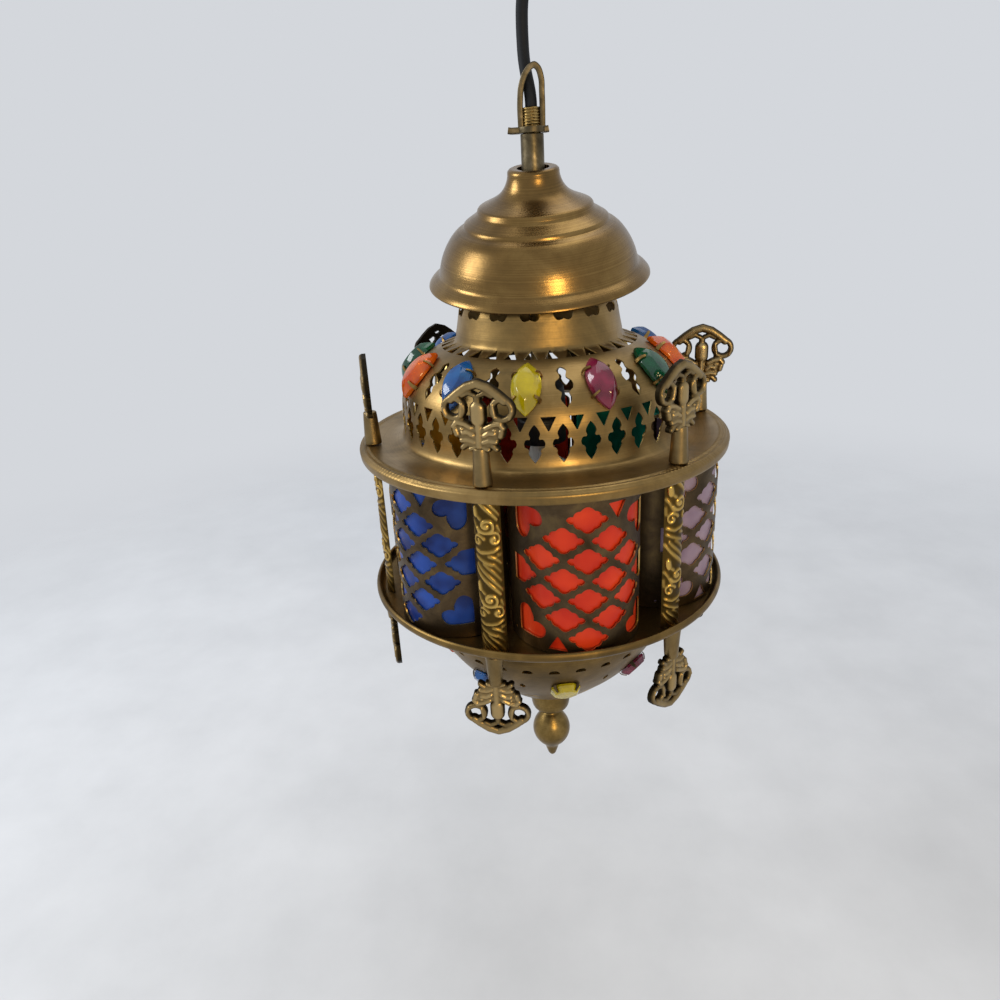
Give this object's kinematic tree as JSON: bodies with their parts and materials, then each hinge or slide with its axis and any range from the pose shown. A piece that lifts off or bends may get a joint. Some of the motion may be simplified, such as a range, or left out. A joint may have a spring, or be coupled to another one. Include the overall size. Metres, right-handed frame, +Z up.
{
  "type": "hanging lamp",
  "caption": "Pierced brass hanging lantern with a lobed glass wall, bell cap, cast lace ornaments, glass stones, bowl and finial, on a cord from a ceiling plate.",
  "frame": {"origin": "centre of the ceiling plate's flat top, on the lamp's axis", "axes": "+Z up along the lamp's axis into the ceiling, -Y towards the pictured front, +X to its right"},
  "size_m": [0.2173, 0.21, 0.496],
  "materials": {
    "satin_brass": "satin",
    "aged_brass": "satin",
    "stamped_brass": "satin",
    "cast_brass": "matte",
    "black_plastic": "matte",
    "cord_sheath": "matte",
    "opal_glass": "gloss",
    "red_glass": "gloss",
    "lilac_glass": "gloss",
    "teal_glass": "gloss",
    "amber_glass": "gloss",
    "blue_glass": "gloss",
    "yellow_glass": "gloss",
    "magenta_glass": "gloss",
    "green_glass": "gloss",
    "orange_glass": "gloss"
  },
  "bodies": {
    "lamp_frame": {"ceiling_rose": "satin_brass", "flex_cord": "cord_sheath", "inner_flex": "cord_sheath", "hanging_loop": "aged_brass", "threaded_stem": "aged_brass", "stem_sleeve": "satin_brass", "cap_stop_nut": "satin_brass", "bar_nut": "satin_brass", "top_shoulder": "satin_brass", "cross_bar": "aged_brass", "lampholder": "black_plastic", "top_stone_1": "yellow_glass", "top_stone_2": "magenta_glass", "top_stone_3": "green_glass", "top_stone_4": "orange_glass", "top_stone_5": "blue_glass", "top_stone_6": "yellow_glass", "top_stone_7": "magenta_glass", "top_stone_8": "green_glass", "top_stone_9": "blue_glass", "top_stone_10": "green_glass", "top_stone_11": "orange_glass", "top_stone_12": "blue_glass", "bay_panel_1": "aged_brass", "bay_panel_2": "aged_brass", "bay_panel_3": "aged_brass", "bay_panel_4": "aged_brass", "bay_panel_5": "aged_brass", "bay_panel_6": "aged_brass", "glass_pane_1": "red_glass", "glass_pane_2": "lilac_glass", "glass_pane_3": "teal_glass", "glass_pane_4": "red_glass", "glass_pane_5": "amber_glass", "glass_pane_6": "blue_glass", "column_1": "stamped_brass", "column_2": "stamped_brass", "column_3": "stamped_brass", "column_4": "stamped_brass", "column_5": "stamped_brass", "column_6": "stamped_brass", "bottom_plate": "satin_brass", "bottom_bowl": "satin_brass"},
    "cap_washer": {"cap_washer": "satin_brass"},
    "bell_cap": {"bell_cap": "satin_brass"},
    "bulb": {"bulb": "opal_glass"},
    "finial": {"finial": "satin_brass", "finial_nut": "satin_brass"},
    "top_ornament_1": {"top_ornament_1": "cast_brass"},
    "top_ornament_2": {"top_ornament_2": "cast_brass"},
    "top_ornament_3": {"top_ornament_3": "cast_brass"},
    "top_ornament_4": {"top_ornament_4": "cast_brass"},
    "top_ornament_5": {"top_ornament_5": "cast_brass"},
    "top_ornament_6": {"top_ornament_6": "cast_brass"},
    "bottom_ornament_1": {"bottom_ornament_1": "cast_brass"},
    "bottom_ornament_2": {"bottom_ornament_2": "cast_brass"},
    "bottom_ornament_3": {"bottom_ornament_3": "cast_brass"},
    "bottom_ornament_4": {"bottom_ornament_4": "cast_brass"},
    "bottom_ornament_5": {"bottom_ornament_5": "cast_brass"},
    "bottom_ornament_6": {"bottom_ornament_6": "cast_brass"}
  },
  "joints": [
    {"name": "cap_lift", "type": "slide", "parent": "lamp_frame", "child": "cap_washer", "axis": [0, 0, 1], "range_m": [0, 0.012]},
    {"name": "cap_rock", "type": "hinge", "parent": "cap_washer", "child": "bell_cap", "pos_m": [0, 0, -0.1204], "axis": [-0.9954, 0.0958, 0], "range_deg": [0, 23.5]},
    {"name": "bulb_turn", "type": "hinge", "parent": "lamp_frame", "child": "bulb", "pos_m": [0, 0, -0.258], "axis": [0, 0, 1], "continuous": true},
    {"name": "finial_turn", "type": "hinge", "parent": "lamp_frame", "child": "finial", "pos_m": [0, 0, -0.44], "axis": [0, 0, 1], "continuous": true},
    {"name": "top_ornament_1_turn", "type": "hinge", "parent": "lamp_frame", "child": "top_ornament_1", "pos_m": [-0.02833, -0.09267, -0.258], "axis": [0, 0, 1], "continuous": true},
    {"name": "top_ornament_2_turn", "type": "hinge", "parent": "lamp_frame", "child": "top_ornament_2", "pos_m": [0.06609, -0.07087, -0.258], "axis": [0, 0, 1], "continuous": true},
    {"name": "top_ornament_3_turn", "type": "hinge", "parent": "lamp_frame", "child": "top_ornament_3", "pos_m": [0.09442, 0.0218, -0.258], "axis": [0, 0, 1], "continuous": true},
    {"name": "top_ornament_4_turn", "type": "hinge", "parent": "lamp_frame", "child": "top_ornament_4", "pos_m": [0.02833, 0.09267, -0.258], "axis": [0, 0, 1], "continuous": true},
    {"name": "top_ornament_5_turn", "type": "hinge", "parent": "lamp_frame", "child": "top_ornament_5", "pos_m": [-0.06609, 0.07087, -0.258], "axis": [0, 0, 1], "continuous": true},
    {"name": "top_ornament_6_turn", "type": "hinge", "parent": "lamp_frame", "child": "top_ornament_6", "pos_m": [-0.09442, -0.0218, -0.258], "axis": [0, 0, 1], "continuous": true},
    {"name": "bottom_ornament_1_turn", "type": "hinge", "parent": "lamp_frame", "child": "bottom_ornament_1", "pos_m": [-0.02833, -0.09267, -0.3512], "axis": [0, 0, 1], "continuous": true},
    {"name": "bottom_ornament_2_turn", "type": "hinge", "parent": "lamp_frame", "child": "bottom_ornament_2", "pos_m": [0.06609, -0.07087, -0.3512], "axis": [0, 0, 1], "continuous": true},
    {"name": "bottom_ornament_3_turn", "type": "hinge", "parent": "lamp_frame", "child": "bottom_ornament_3", "pos_m": [0.09442, 0.0218, -0.3512], "axis": [0, 0, 1], "continuous": true},
    {"name": "bottom_ornament_4_turn", "type": "hinge", "parent": "lamp_frame", "child": "bottom_ornament_4", "pos_m": [0.02833, 0.09267, -0.3512], "axis": [0, 0, 1], "continuous": true},
    {"name": "bottom_ornament_5_turn", "type": "hinge", "parent": "lamp_frame", "child": "bottom_ornament_5", "pos_m": [-0.06609, 0.07087, -0.3512], "axis": [0, 0, 1], "continuous": true},
    {"name": "bottom_ornament_6_turn", "type": "hinge", "parent": "lamp_frame", "child": "bottom_ornament_6", "pos_m": [-0.09442, -0.0218, -0.3512], "axis": [0, 0, 1], "continuous": true}
  ]
}
